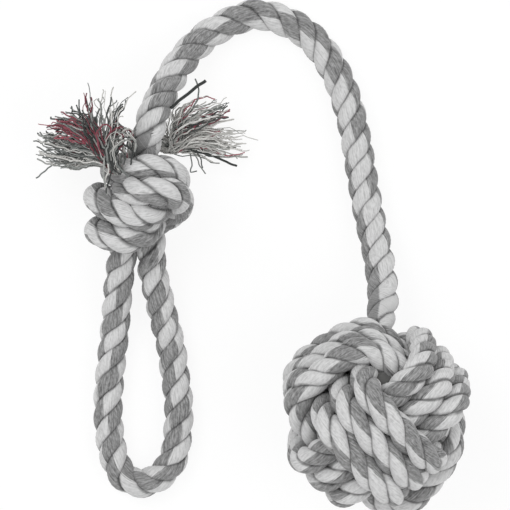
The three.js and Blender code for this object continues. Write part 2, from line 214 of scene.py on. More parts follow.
# Single yarns that stray from the tassels: width, how pale, and points with heights from the ground
stray_yarns = [
    (1.4, 0.05, [(-33.5, 58.2, 24), (-28.4, 62.1, 26), (-24, 65.6, 27), (-19.5, 68.7, 28)]),
    (0.7, 0.3, [(-23.5, 69.4, 26.6), (-22.3, 66.5, 26.8), (-22.5, 62.4, 24), (-25.4, 57, 18)]),
    (1.0, 0.05, [
        (-27.3, 42.7, 12.5), (-21.8, 40.8, 12), (-16.3, 39.3, 10), (-11.5, 37.4, 8), (-6.8, 35.6, 6),
    ]),
    (0.6, 0.3, [
        (-26.9, 42.4, 12), (-25.4, 38.9, 11), (-25, 35.7, 9.5), (-25.8, 33, 8.5), (-23.1, 33.2, 8),
    ]),
    (0.6, 0.4, [(-25, 42.2, 12), (-23, 38.5, 10), (-21.8, 35.4, 9), (-19.9, 32.2, 7)]),
    (0.6, 0.2, [(-23.4, 42, 11), (-21.4, 37.7, 9.5), (-20.7, 34.6, 8)]),
    (0.7, 0.3, [(-73.5, 37.4, 27.3), (-78.4, 36.4, 22.5), (-83.7, 33.3, 16), (-87.2, 30.5, 11)]),
    (0.7, 0.5, [(-72.8, 36.4, 28.5), (-77.9, 36, 22.5), (-82.4, 36.4, 18), (-86.3, 38.6, 13)]),
    (0.8, 0.1, [
        (-55.6, 40.8, 48), (-55.2, 36.1, 48), (-56, 31.5, 48), (-57.7, 26.9, 46), (-58.2, 24.2, 42),
    ]),
    (0.8, 0.5, [
        (-58.7, 39.7, 47.5), (-59, 33.8, 49), (-58.7, 29.9, 49), (-57.7, 26.5, 46), (-57.8, 23.8, 42),
    ]),
    (0.8, 0.3, [(-54.3, 39.5, 46), (-53.3, 34.6, 48), (-51, 32.3, 47.5), (-49.1, 30, 46)]),
    (0.8, 0.7, [(-57.1, 37.9, 47.5), (-57.1, 32.3, 49), (-58.4, 28.8, 48), (-58.1, 25.4, 44)]),
]

# Yarn as it looks, with painted shade in the seams between strands: sizes of its patterns, coarser than
# single fibres so that they show, and what they do
FIBRE_LENGTH = 3.4
FIBRE_WIDTH = 0.45
HEATHER_GRAIN = 1.0
FIBRE_RELIEF = 0.4
# Size of the patches over which the painted shade of the seams grows deeper or shallower
SEAM_SHADE_PATCH = 5.0
YARN_FLECK = 1.2
RAGGED_EDGE = 0.2  # how far single fibres carry the pale side over its edge
EDGE_SOFTNESS = 0.1
# Painted shade in the seams between strands: how far it reaches into a strand where it is shallowest and
# deepest, and how dark it gets at the seam
SEAM_SHADE_DEPTHS = (0.55, 1.15)  # how deep a seam is where it is shallowest and deepest
SEAM_SHADE = 0.34
FLECK_SHADES = (0.8, 1.1)

# Camera: straight above, with the photograph's width across the rope that lies on the ground
PICTURE_WIDTH = 204
CAMERA_HEIGHT = 1600
SENSOR = 36

# Ground, light and lamps: sizes of the ground in millimetres, of the lamps in metres and watts
FLOOR_HALF = 3000
FLOOR_DROP = 0.2
GROUND_WHITE = 0.88
ROOM_LIGHT = 0.7
LAMP_SIZE = 0.7
lamps = [("key", (-0.55, 0.45, 1.1), 6.0), ("fill", (0.7, -0.35, 1.0), 3.6)]

core_low, core_high = (np.array(corner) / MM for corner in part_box("ball_core"))
ball_centre = (core_low + core_high) / 2
shift = np.array([ball_centre[0] - BALL_PLACE[0], ball_centre[1] - BALL_PLACE[1], 0])


# Columns of a marked path after the place
WIDTH = 3
FACE = [4, 5, 6]
SIDES = [7, 8, 9]
TURNS = 10
RATE = 11
NORMAL = [12, 13, 14]
TINT = [4, 5, 6]
COUNT = 7
ROPE_MARKS = {
    "width": [WIDTH], "face": FACE, "sides": SIDES, "turns": [TURNS], "rate": [RATE], "carried": NORMAL,
}
YARN_MARKS = {"width": [WIDTH], "tint": TINT, "count": [COUNT]}


def linear(code):
    """A hex sRGB colour as linear red, green, blue and alpha."""
    shares = [int(code[i:i + 2], 16) / 255 for i in (1, 3, 5)]
    return [*(((c + 0.055) / 1.055) ** 2.4 if c > 0.04045 else c / 12.92 for c in shares), 1]


def add(tree, kind, inputs=None, **settings):
    """Adds a node; each input is a value, or the socket that it is linked from."""
    node = tree.nodes.new(kind)
    for name, value in settings.items():
        setattr(node, name, value)
    for key, value in (inputs or {}).items():
        if isinstance(value, bpy.types.NodeSocket):
            tree.links.new(value, node.inputs[key])
        else:
            node.inputs[key].default_value = value
    return node


def marked(places, width, faces):
    """Places with the rope's width and the way that its upper side faces there."""
    return np.column_stack([places, [width] * len(places), faces])


def on_ground(points, width):
    """Points of a lying route in the frame, with the rope's marks there."""
    places = np.array(points, float) + shift + np.array([0, 0, LYING])
    return marked(places, width, [UP] * len(places))


def on_knot(points, width):
    """Points of the knot in the frame, with the rope's marks; its outer turns face away from its axis."""
    faces = []
    for x, y, z in points:
        reach = math.hypot(x, z - KNOT_AXIS_HEIGHT)
        outer = reach > KNOT_CORE_RADIUS
        faces.append((x / reach, 0, (z - KNOT_AXIS_HEIGHT) / reach) if outer else UP)
    return marked(np.array(points, float) + shift + np.array([*KNOT_PLACE, 0]), width, faces)


def smooth_path(points, step):
    """A centripetal curve through the points, with a point about every step millimetres."""
    points = np.array(points, float)
    ends = [2 * points[0] - points[1]], [2 * points[-1] - points[-2]]
    knots = np.vstack([ends[0], points, ends[1]])
    path = []
    for p0, p1, p2, p3 in zip(knots, knots[1:], knots[2:], knots[3:]):
        reach = np.linalg.norm((p2 - p1)[:3])
        t1 = np.linalg.norm((p1 - p0)[:3]) ** 0.5
        t2 = t1 + reach ** 0.5
        t3 = t2 + np.linalg.norm((p3 - p2)[:3]) ** 0.5
        for t in np.linspace(t1, t2, max(1, round(reach / step)), endpoint=False):
            a1 = p0 + (p1 - p0) * t / t1
            a2 = p1 + (p2 - p1) * (t - t1) / (t2 - t1)
            a3 = p2 + (p3 - p2) * (t - t2) / (t3 - t2)
            b1 = a1 + (a2 - a1) * t / t2
            b2 = a2 + (a3 - a2) * (t - t1) / (t3 - t1)
            path.append(b1 + (b2 - b1) * (t - t1) / (t2 - t1))
    return np.array([*path, points[-1]])


def lengths_along(path):
    """The length of the path from its start to each of its points."""
    steps = np.linalg.norm(np.diff(path[:, :3], axis=0), axis=1)
    return np.concatenate([[0], np.cumsum(steps)])


def nearest_row(path, point):
    """The row of the path nearest to a point."""
    return np.argmin(np.linalg.norm(path[:, :3] - np.array(point)[:3], axis=1))


def length_at(path, point):
    """The length of the path up to the place nearest to a point."""
    return lengths_along(path)[nearest_row(path, point)]


def tangents_along(path):
    """The unit direction of the path at each of its points."""
    ways = np.gradient(path[:, :3], axis=0)
    return ways / np.linalg.norm(ways, axis=1)[:, None]


def laid_path(points, leaves, lay):
    """A path through marked points, with the lay's turns so far and a normal carried along untwisted."""
    path = smooth_path(points, GUIDE_STEP)
    lengths = lengths_along(path)
    normal = path[0, FACE]
    normals = []
    facing = []
    for tangent, face in zip(tangents_along(path), path[:, FACE]):
        normal = normal - tangent * normal.dot(tangent)
        normal = normal / np.linalg.norm(normal)
        normals.append(normal)
        facing.append(math.atan2(face.dot(np.cross(tangent, normal)), face.dot(normal)) / (2 * math.pi))
    places = [place for place, sides in leaves]
    turns = [facing[np.argmin(abs(lengths - places[0]))]]
    for last, place in zip(places, places[1:]):
        due = turns[-1] + (place - last) / lay
        turn = facing[np.argmin(abs(lengths - place))]
        turns.append(turn + round(due - turn))
    beyond = lengths[-1]
    stations = [places[0] - beyond, *places, places[-1] + beyond]
    laid = np.interp(lengths, stations, [turns[0] - beyond / lay, *turns, turns[-1] + beyond / lay])
    rate = np.gradient(laid, lengths * MM)
    sides = [np.interp(lengths, places, column) for column in zip(*(sides for place, sides in leaves))]
    return np.column_stack([path, *sides, laid, rate, normals])


def guide_lines(name, paths, marks):
    """Lines of edges along the paths, in metres; marks names the columns that become point attributes."""
    rows = np.vstack(paths)
    edges = []
    first = 0
    for path in paths:
        edges += [(first + i, first + i + 1) for i in range(len(path) - 1)]
        first += len(path)
    mesh = bpy.data.meshes.new(name)
    mesh.from_pydata((rows[:, :3] * MM).tolist(), edges, [])
    for mark, columns in marks.items():
        kind, field = ("FLOAT", "value") if len(columns) == 1 else ("FLOAT_VECTOR", "vector")
        attribute = mesh.attributes.new(mark, kind, "POINT")
        attribute.data.foreach_set(field, rows[:, columns].astype(np.float32).ravel())
    guide = bpy.data.objects.new(name, mesh)
    bpy.context.collection.objects.link(guide)
    return guide


def made_piece(guide, name, tree, values):
    """Runs a node tree on a guide and keeps the result as a plain mesh piece."""
    modifier = guide.modifiers.new("make", "NODES")
    modifier.node_group = tree
    sockets = {item.name: item.identifier for item in tree.interface.items_tree}
    for socket, value in values.items():
        modifier[sockets[socket]] = value
    depsgraph = bpy.context.evaluated_depsgraph_get()
    mesh = bpy.data.meshes.new_from_object(guide.evaluated_get(depsgraph), depsgraph=depsgraph)
    guide.modifiers.remove(modifier)
    mesh.name = name
    piece = bpy.data.objects.new(name, mesh)
    bpy.context.collection.objects.link(piece)
    return piece


def lying(tree, yarn, material):
    """Ends a tree: nothing of the yarn goes below the ground, and it is smooth and of its material."""
    place = add(tree, "GeometryNodeInputPosition").outputs[0]
    x, y, z = add(tree, "ShaderNodeSeparateXYZ", {0: place}).outputs
    above = add(tree, "ShaderNodeMath", {0: z, 1: 0.0}, operation="MAXIMUM")
    resting = add(tree, "ShaderNodeCombineXYZ", {0: x, 1: y, 2: above.outputs[0]})
    rested = add(tree, "GeometryNodeSetPosition", {0: yarn, "Position": resting.outputs[0]})
    smooth = add(tree, "GeometryNodeSetShadeSmooth", {0: rested.outputs[0]})
    real = add(tree, "GeometryNodeRealizeInstances", {0: smooth.outputs[0]})
    dyed = add(tree, "GeometryNodeSetMaterial", {0: real.outputs[0], "Material": material})
    add(tree, "NodeGroupOutput", {0: dyed.outputs[0]})
    return tree


def rope_tree(material):
    """Lays three strands right-handed round a guide, each a closed tube with its own marks for the yarn and
    a mask for the painted shade of its seams.
    """
    tree = bpy.data.node_groups.new("laid rope", "GeometryNodeTree")
    tree.interface.new_socket("Guide", in_out="INPUT", socket_type="NodeSocketGeometry")
    for name in ("Strand offset", "Strand radius", "Step", "From", "To", "Seam from"):
        tree.interface.new_socket(name, in_out="INPUT", socket_type="NodeSocketFloat")
    tree.interface.new_socket("Sides", in_out="INPUT", socket_type="NodeSocketInt")
    tree.interface.new_socket("Rope", in_out="OUTPUT", socket_type="NodeSocketGeometry")
    given = add(tree, "NodeGroupInput").outputs
    line = add(tree, "GeometryNodeMeshToCurve", {0: given["Guide"]})
    even = add(
        tree, "GeometryNodeResampleCurve",
        {"Curve": line.outputs[0], "Length": given["Step"]}, mode="LENGTH",
    )
    marks = add(tree, "GeometryNodeCaptureAttribute", {0: even.outputs[0]})
    named = {}
    for name, kind in (
        ("width", "FLOAT"), ("turns", "FLOAT"), ("rate", "FLOAT"),
        ("sides", "FLOAT_VECTOR"), ("face", "FLOAT_VECTOR"), ("carried", "FLOAT_VECTOR"),
    ):
        node = add(tree, "GeometryNodeInputNamedAttribute", {"Name": name}, data_type=kind)
        named[name] = node.outputs[0]
    normal = add(tree, "ShaderNodeVectorMath", {0: named["carried"]}, operation="NORMALIZE")
    fields = {
        "along": ("FLOAT", add(tree, "GeometryNodeSplineParameter").outputs["Length"]),
        "width": ("FLOAT", named["width"]),
        "turns": ("FLOAT", named["turns"]),
        "rate": ("FLOAT", named["rate"]),
        "normal": ("VECTOR", normal.outputs[0]),
        "tangent": ("VECTOR", add(tree, "GeometryNodeInputTangent").outputs[0]),
        "centre": ("VECTOR", add(tree, "GeometryNodeInputPosition").outputs[0]),
        "sides": ("VECTOR", named["sides"]),
        "face": ("VECTOR", named["face"]),
    }
    for name, (kind, field) in fields.items():
        marks.capture_items.new(kind, name)
        tree.links.new(field, marks.inputs[name])
    mark = marks.outputs
    cut = add(tree, "GeometryNodeTrimCurve", {0: mark[0], 4: given["From"], 5: given["To"]}, mode="LENGTH")
    strands = add(
        tree, "GeometryNodeDuplicateElements", {0: cut.outputs[0], "Amount": STRANDS}, domain="SPLINE",
    )
    counted = add(tree, "GeometryNodeCaptureAttribute", {0: strands.outputs[0]}, domain="CURVE")
    counted.capture_items.new("FLOAT", "strand")
    tree.links.new(strands.outputs[1], counted.inputs["strand"])
    strand = counted.outputs["strand"]

    third = add(tree, "ShaderNodeMath", {0: strand, 1: STRANDS}, operation="DIVIDE")
    both = add(tree, "ShaderNodeMath", {0: mark["turns"], 1: third.outputs[0]}, operation="ADD")
    angle = add(tree, "ShaderNodeMath", {0: both.outputs[0], 1: 2 * math.pi}, operation="MULTIPLY")
    cosine = add(tree, "ShaderNodeMath", {0: angle.outputs[0]}, operation="COSINE")
    sine = add(tree, "ShaderNodeMath", {0: angle.outputs[0]}, operation="SINE")
    side = add(
        tree, "ShaderNodeVectorMath", {0: mark["tangent"], 1: mark["normal"]}, operation="CROSS_PRODUCT",
    )
    first = add(
        tree, "ShaderNodeVectorMath", {0: mark["normal"], "Scale": cosine.outputs[0]}, operation="SCALE",
    )
    second = add(
        tree, "ShaderNodeVectorMath", {0: side.outputs[0], "Scale": sine.outputs[0]}, operation="SCALE",
    )
    outwards = add(
        tree, "ShaderNodeVectorMath", {0: first.outputs[0], 1: second.outputs[0]}, operation="ADD",
    )
    half = add(tree, "ShaderNodeMath", {0: mark["width"], 1: 0.5 * MM}, operation="MULTIPLY")
    away = add(
        tree, "ShaderNodeMath", {0: half.outputs[0], 1: given["Strand offset"]}, operation="MULTIPLY",
    )
    thick = add(
        tree, "ShaderNodeMath", {0: half.outputs[0], 1: given["Strand radius"]}, operation="MULTIPLY",
    )
    step_out = add(
        tree, "ShaderNodeVectorMath",
        {0: outwards.outputs[0], "Scale": away.outputs[0]}, operation="SCALE",
    )
    wound = add(tree, "GeometryNodeSetPosition", {0: counted.outputs[0], "Offset": step_out.outputs[0]})
    aimed = add(
        tree, "GeometryNodeSetCurveNormal",
        {0: wound.outputs[0], "Normal": outwards.outputs[0]}, mode="FREE",
    )
    kept = add(tree, "GeometryNodeCaptureAttribute", {0: aimed.outputs[0]})
    for name, field in (("angle", angle.outputs[0]), ("thick", thick.outputs[0])):
        kept.capture_items.new("FLOAT", name)
        tree.links.new(field, kept.inputs[name])
    ring = add(tree, "GeometryNodeCurvePrimitiveCircle", {"Resolution": given["Sides"], "Radius": 1.0})
    tube = add(
        tree, "GeometryNodeCurveToMesh",
        {0: kept.outputs[0], 1: ring.outputs[0], "Scale": kept.outputs["thick"], "Fill Caps": True},
    )

    position = add(tree, "GeometryNodeInputPosition")
    reach = add(
        tree, "ShaderNodeVectorMath", {0: position.outputs[0], 1: mark["centre"]}, operation="SUBTRACT",
    )
    ahead = add(
        tree, "ShaderNodeVectorMath", {0: reach.outputs[0], 1: mark["tangent"]}, operation="DOT_PRODUCT",
    )
    sideways = add(
        tree, "ShaderNodeVectorMath", {0: reach.outputs[0], 1: side.outputs[0]}, operation="DOT_PRODUCT",
    )
    outward = add(
        tree, "ShaderNodeVectorMath", {0: reach.outputs[0], 1: mark["normal"]}, operation="DOT_PRODUCT",
    )
    place = add(
        tree, "ShaderNodeMath",
        {0: sideways.outputs["Value"], 1: outward.outputs["Value"]}, operation="ARCTAN2",
    )
    lead = add(
        tree, "ShaderNodeMath", {0: place.outputs[0], 1: kept.outputs["angle"]}, operation="SUBTRACT",
    )
    swing = add(tree, "ShaderNodeMath", {0: lead.outputs[0], 1: math.pi, 2: -math.pi}, operation="WRAP")
    turn = add(tree, "ShaderNodeMath", {0: kept.outputs["angle"], 1: swing.outputs[0]}, operation="ADD")
    arc = add(tree, "ShaderNodeMath", {0: turn.outputs[0], 1: half.outputs[0]}, operation="MULTIPLY")
    apart = add(tree, "ShaderNodeMath", {0: strand, 1: STRAND_APART}, operation="MULTIPLY")
    yarn = add(tree, "ShaderNodeCombineXYZ", {0: mark["along"], 1: arc.outputs[0], 2: apart.outputs[0]})
    gain = add(tree, "ShaderNodeMath", {0: ahead.outputs["Value"], 1: mark["rate"]}, operation="MULTIPLY")
    gained = add(tree, "ShaderNodeMath", {0: gain.outputs[0], 1: 2 * math.pi}, operation="MULTIPLY")
    past = add(tree, "ShaderNodeMath", {0: swing.outputs[0], 1: gained.outputs[0]}, operation="SUBTRACT")
    past_middle = add(tree, "ShaderNodeMath", {0: past.outputs[0]}, operation="ABSOLUTE")
    to_edge = add(
        tree, "ShaderNodeMath", {0: past_middle.outputs[0], 1: math.pi / STRANDS}, operation="DIVIDE",
    )
    # How near each point of a strand lies to the seam between strands: the mask for the painted shade of the
    # seams
    seam = add(tree, "ShaderNodeMapRange", {0: to_edge.outputs[0], "From Min": given["Seam from"]})

    right = add(
        tree, "ShaderNodeVectorMath", {0: mark["tangent"], 1: mark["face"]}, operation="CROSS_PRODUCT",
    )
    upward = add(
        tree, "ShaderNodeVectorMath", {0: right.outputs[0], 1: mark["tangent"]}, operation="CROSS_PRODUCT",
    )
    rightwards = add(
        tree, "ShaderNodeVectorMath", {0: reach.outputs[0], 1: right.outputs[0]}, operation="DOT_PRODUCT",
    )
    upwards = add(
        tree, "ShaderNodeVectorMath", {0: reach.outputs[0], 1: upward.outputs[0]}, operation="DOT_PRODUCT",
    )
    bearing = add(
        tree, "ShaderNodeMath",
        {0: rightwards.outputs["Value"], 1: upwards.outputs["Value"]}, operation="ARCTAN2",
    )
    each_side = add(tree, "ShaderNodeSeparateXYZ", {0: mark["sides"]})
    chosen = add(tree, "GeometryNodeIndexSwitch", data_type="FLOAT")
    chosen.index_switch_items.new()
    tree.links.new(strand, chosen.inputs["Index"])
    for socket, facing in zip(list(chosen.inputs)[1:], each_side.outputs):
        tree.links.new(facing, socket)
    facing = add(tree, "ShaderNodeMath", {0: chosen.outputs[0]}, operation="RADIANS")
    off = add(tree, "ShaderNodeMath", {0: bearing.outputs[0], 1: facing.outputs[0]}, operation="SUBTRACT")
    twice = add(tree, "ShaderNodeMath", {0: off.outputs[0], 1: 2.0}, operation="MULTIPLY")
    pale = add(tree, "ShaderNodeMath", {0: twice.outputs[0]}, operation="COSINE")

    rope = tube.outputs[0]
    stored = {
        "seam": ("FLOAT", seam.outputs[0]),
        "pale": ("FLOAT", pale.outputs[0]),
        "yarn": ("FLOAT_VECTOR", yarn.outputs[0]),
    }
    for name, (kind, field) in stored.items():
        store = add(
            tree, "GeometryNodeStoreNamedAttribute", {0: rope, "Name": name, "Value": field}, data_type=kind,
        )
        rope = store.outputs[0]
    return lying(tree, rope, material)


def tassel_tree(material):
    """Spreads yarns round each lock's guide; each has its own thickness, length, waves and colour."""
    tree = bpy.data.node_groups.new("combed yarn", "GeometryNodeTree")
    tree.interface.new_socket("Locks", in_out="INPUT", socket_type="NodeSocketGeometry")
    for name in ("Bundle", "Spread", "Wave", "Wave length", "Crinkle", "Shortest", "Thinnest"):
        tree.interface.new_socket(name, in_out="INPUT", socket_type="NodeSocketFloat")
    for name in ("Steps", "Seed"):
        tree.interface.new_socket(name, in_out="INPUT", socket_type="NodeSocketInt")
    tree.interface.new_socket("Tassel", in_out="OUTPUT", socket_type="NodeSocketGeometry")
    given = add(tree, "NodeGroupInput").outputs
    line = add(tree, "GeometryNodeMeshToCurve", {0: given["Locks"]})
    even = add(
        tree, "GeometryNodeResampleCurve",
        {"Curve": line.outputs[0], "Count": given["Steps"]}, mode="COUNT",
    )
    count = add(tree, "GeometryNodeInputNamedAttribute", {"Name": "count"}, data_type="FLOAT")
    many = add(
        tree, "GeometryNodeDuplicateElements",
        {0: even.outputs[0], "Amount": count.outputs[0]}, domain="SPLINE",
    )
    marks = add(tree, "GeometryNodeCaptureAttribute", {0: many.outputs[0]}, domain="CURVE")
    index = add(tree, "GeometryNodeInputIndex").outputs[0]
    seed = given["Seed"]
    low = (-1.0, -1.0, -1.0)
    high = (1.0, 1.0, 1.0)
    aside = add(
        tree, "FunctionNodeRandomValue",
        {0: low, 1: high, "ID": index, "Seed": seed}, data_type="FLOAT_VECTOR",
    )
    dye = add(tree, "FunctionNodeRandomValue", {"ID": index, "Seed": DYE_SEED}, data_type="FLOAT")
    redness = add(tree, "FunctionNodeRandomValue", {"ID": index, "Seed": RED_SEED}, data_type="FLOAT")
    reach = add(
        tree, "FunctionNodeRandomValue",
        {2: given["Shortest"], 3: 1.0, "ID": index, "Seed": LENGTH_SEED}, data_type="FLOAT",
    )
    girth = add(
        tree, "FunctionNodeRandomValue",
        {2: given["Thinnest"], 3: 1.0, "ID": index, "Seed": GIRTH_SEED}, data_type="FLOAT",
    )
    for name, kind, field in (
        ("aside", "VECTOR", aside.outputs[0]), ("dye", "FLOAT", dye.outputs[1]),
        ("redness", "FLOAT", redness.outputs[1]), ("reach", "FLOAT", reach.outputs[1]),
        ("girth", "FLOAT", girth.outputs[1]),
    ):
        marks.capture_items.new(kind, name)
        tree.links.new(field, marks.inputs[name])
    mark = marks.outputs
    share = add(tree, "GeometryNodeSplineParameter").outputs["Factor"]
    opening = add(tree, "ShaderNodeMath", {0: share, 1: LOCK_OPENING}, operation="POWER")
    fan = add(
        tree, "ShaderNodeMath",
        {0: opening.outputs[0], 1: given["Spread"], 2: given["Bundle"]}, operation="MULTIPLY_ADD",
    )
    off = add(tree, "ShaderNodeVectorMath", {0: mark["aside"], "Scale": fan.outputs[0]}, operation="SCALE")
    position = add(tree, "GeometryNodeInputPosition")
    thinly = add(tree, "ShaderNodeVectorMath", {0: mark["aside"], "Scale": YARN_APART}, operation="SCALE")
    where = add(
        tree, "ShaderNodeVectorMath", {0: position.outputs[0], 1: thinly.outputs[0]}, operation="ADD",
    )
    fine = add(tree, "ShaderNodeMath", {0: 1.0, 1: given["Wave length"]}, operation="DIVIDE")
    finer = add(
        tree, "ShaderNodeMath", {0: CRINKLES_PER_WAVE, 1: given["Wave length"]}, operation="DIVIDE",
    )
    middle = (0.5, 0.5, 0.5)
    sway = add(tree, "ShaderNodeMath", {0: share, 1: given["Wave"]}, operation="MULTIPLY")
    offset = off.outputs[0]
    for scale, amount in ((fine.outputs[0], sway.outputs[0]), (finer.outputs[0], given["Crinkle"])):
        noise = add(
            tree, "ShaderNodeTexNoise", {"Vector": where.outputs[0], "Scale": scale, "Detail": 0.0},
        )
        centred = add(
            tree, "ShaderNodeVectorMath", {0: noise.outputs["Color"], 1: middle}, operation="SUBTRACT",
        )
        waves = add(
            tree, "ShaderNodeVectorMath", {0: centred.outputs[0], "Scale": amount}, operation="SCALE",
        )
        moved = add(tree, "ShaderNodeVectorMath", {0: offset, 1: waves.outputs[0]}, operation="ADD")
        offset = moved.outputs[0]
    spread = add(tree, "GeometryNodeSetPosition", {0: mark[0], "Offset": offset})
    trimmed = add(tree, "GeometryNodeTrimCurve", {0: spread.outputs[0], 3: mark["reach"]}, mode="FACTOR")
    width = add(tree, "GeometryNodeInputNamedAttribute", {"Name": "width"}, data_type="FLOAT")
    half = add(tree, "ShaderNodeMath", {0: width.outputs[0], 1: 0.5 * MM}, operation="MULTIPLY")
    thick = add(tree, "ShaderNodeMath", {0: mark["girth"], 1: half.outputs[0]}, operation="MULTIPLY")
    ring = add(tree, "GeometryNodeCurvePrimitiveCircle", {"Resolution": YARN_SIDES, "Radius": 1.0})
    tube = add(
        tree, "GeometryNodeCurveToMesh",
        {0: trimmed.outputs[0], 1: ring.outputs[0], "Scale": thick.outputs[0], "Fill Caps": True},
    )
    tint = add(tree, "GeometryNodeInputNamedAttribute", {"Name": "tint"}, data_type="FLOAT_VECTOR")
    tints = add(tree, "ShaderNodeSeparateXYZ", {0: tint.outputs[0]})
    red = add(tree, "ShaderNodeMath", {0: mark["redness"], 1: tints.outputs[0]}, operation="LESS_THAN")
    centred = add(tree, "ShaderNodeMath", {0: mark["dye"], 1: 0.5}, operation="SUBTRACT")
    tone = add(
        tree, "ShaderNodeMath",
        {0: centred.outputs[0], 1: tints.outputs[2], 2: tints.outputs[1]}, operation="MULTIPLY_ADD",
    )
    yarns = tube.outputs[0]
    for name, field in (("tone", tone.outputs[0]), ("red", red.outputs[0])):
        store = add(
            tree, "GeometryNodeStoreNamedAttribute",
            {0: yarns, "Name": name, "Value": field}, data_type="FLOAT",
        )
        yarns = store.outputs[0]
    return lying(tree, yarns, material)


def cloth(name):
    """A matt fibre material with a soft light edge, and its shader."""
    material = bpy.data.materials.new(name)
    material.use_nodes = True
    shader = material.node_tree.nodes["Principled BSDF"]
    shader.inputs["Roughness"].default_value = 0.92
    shader.inputs["Specular IOR Level"].default_value = 0.15
    shader.inputs["Sheen Weight"].default_value = 0.2
    shader.inputs["Sheen Roughness"].default_value = 0.6
    return material, shader


def cotton_rope():
    """Cotton-blend yarn, spun and laid: matt and heathered, each strand part pale, part dark, with painted
    shade darkening the seams between strands.
    """
    material, shader = cloth("cotton blend yarn laid in strands")
    tree = material.node_tree
    yarn = add(tree, "ShaderNodeAttribute", attribute_name="yarn").outputs["Vector"]
    side = add(tree, "ShaderNodeAttribute", attribute_name="pale").outputs["Fac"]
    seam_shade_mask = add(tree, "ShaderNodeAttribute", attribute_name="seam").outputs["Fac"]
    fibre_size = (1 / (FIBRE_LENGTH * MM), 1 / (FIBRE_WIDTH * MM), 1 / MM)
    fibre_place = add(tree, "ShaderNodeVectorMath", {0: yarn, 1: fibre_size}, operation="MULTIPLY")
    fibres = add(
        tree, "ShaderNodeTexNoise", {"Vector": fibre_place.outputs[0], "Scale": 1.0, "Detail": 2.0},
    )
    heather = add(
        tree, "ShaderNodeTexNoise",
        {"Vector": yarn, "Scale": 1 / (HEATHER_GRAIN * MM), "Detail": 3.0, "Roughness": 0.65},
    )
    ragged = add(
        tree, "ShaderNodeMapRange",
        {
            0: fibres.outputs[0], "From Min": 0.2, "From Max": 0.8,
            "To Min": -RAGGED_EDGE, "To Max": RAGGED_EDGE,
        },
    )
    place = add(tree, "ShaderNodeMath", {0: side, 1: ragged.outputs[0]}, operation="ADD")
    tone = add(
        tree, "ShaderNodeMapRange",
        {0: place.outputs[0], "From Min": -EDGE_SOFTNESS, "From Max": EDGE_SOFTNESS},
        interpolation_type="SMOOTHSTEP",
    )

    mixed = add(tree, "ShaderNodeMix", {"Factor": 0.5, 2: fibres.outputs[0], 3: heather.outputs[0]})
    pale = add(tree, "ShaderNodeValToRGB", {0: mixed.outputs[0]})
    dark = add(tree, "ShaderNodeValToRGB", {0: mixed.outputs[0]})
    for ramp, places, codes in (
        (pale, (0.34, 0.56), ("#aaaaaa", "#cfcfcf")),
        (dark, (0.36, 0.64), ("#545454", "#a4a4a4")),
    ):
        for element, spot, code in zip(ramp.color_ramp.elements, places, codes):
            element.position = spot
            element.color = linear(code)
    laid = add(
        tree, "ShaderNodeMix",
        {"Factor": tone.outputs[0], 6: dark.outputs[0], 7: pale.outputs[0]}, data_type="RGBA",
    )
    # Painted shade: the colour darkens towards the seams between strands, unevenly along them, where the
    # strands shade each other
    uneven_seam_shade = add(
        tree, "ShaderNodeTexNoise", {"Vector": yarn, "Scale": 1 / (SEAM_SHADE_PATCH * MM), "Detail": 1.0},
    )
    shallow, deep = SEAM_SHADE_DEPTHS
    depth = add(
        tree, "ShaderNodeMapRange",
        {0: uneven_seam_shade.outputs[0], "From Min": 0.35, "From Max": 0.65, "To Min": shallow, "To Max": deep},
    )
    seam_shade_reach = add(tree, "ShaderNodeMath", {0: seam_shade_mask, 1: depth.outputs[0]}, operation="MULTIPLY")
    seam = add(
        tree, "ShaderNodeMapRange", {0: seam_shade_reach.outputs[0], "To Min": 1.0, "To Max": SEAM_SHADE},
        interpolation_type="SMOOTHSTEP",
    )
    with_seam_shade = add(
        tree, "ShaderNodeMix", {"Factor": 1.0, 6: laid.outputs[2], 7: seam.outputs[0]},
        data_type="RGBA", blend_type="MULTIPLY",
    )
    bump = add(
        tree, "ShaderNodeBump",
        {"Height": mixed.outputs[0], "Strength": 0.5, "Distance": FIBRE_RELIEF * MM},
    )
    tree.links.new(with_seam_shade.outputs[2], shader.inputs["Base Color"])
    tree.links.new(bump.outputs[0], shader.inputs["Normal"])
    return material


def tassel_yarn():
    """Unlaid spinning yarn of mixed greys with some dark red: matt, each yarn of one colour."""
    material, shader = cloth("unlaid yarn of mixed greys")
    tree = material.node_tree
    tone = add(tree, "ShaderNodeAttribute", attribute_name="tone").outputs["Fac"]
    red = add(tree, "ShaderNodeAttribute", attribute_name="red").outputs["Fac"]
    greys = add(tree, "ShaderNodeValToRGB", {0: tone})
    reds = add(tree, "ShaderNodeValToRGB", {0: tone})
    for ramp, shades in (
        (greys, ((0.1, "#343736"), (0.3, "#6f7371"), (0.5, "#9a9c99"), (0.7, "#c2c1bd"), (0.95, "#d6d5d2"))),
        (reds, ((0.1, "#6a2f3a"), (0.7, "#9a4a58"))),
    ):
        for spot, code in shades[2:]:
            ramp.color_ramp.elements.new(spot)
        for element, (spot, code) in zip(ramp.color_ramp.elements, shades):
            element.position = spot
            element.color = linear(code)
    dyed = add(
        tree, "ShaderNodeMix", {"Factor": red, 6: greys.outputs[0], 7: reds.outputs[0]}, data_type="RGBA",
    )
    where = add(tree, "ShaderNodeTexCoord").outputs["Object"]
    fleck = add(
        tree, "ShaderNodeTexNoise", {"Vector": where, "Scale": 1 / (YARN_FLECK * MM), "Detail": 3.0},
    )
    darker, paler = FLECK_SHADES
    shade = add(
        tree, "ShaderNodeMapRange",
        {0: fleck.outputs[0], "From Min": 0.3, "From Max": 0.7, "To Min": darker, "To Max": paler},
    )
    flecked = add(
        tree, "ShaderNodeMix", {"Factor": 1.0, 6: dyed.outputs[2], 7: shade.outputs[0]},
        data_type="RGBA", blend_type="MULTIPLY",
    )
    tree.links.new(flecked.outputs[2], shader.inputs["Base Color"])
    return material


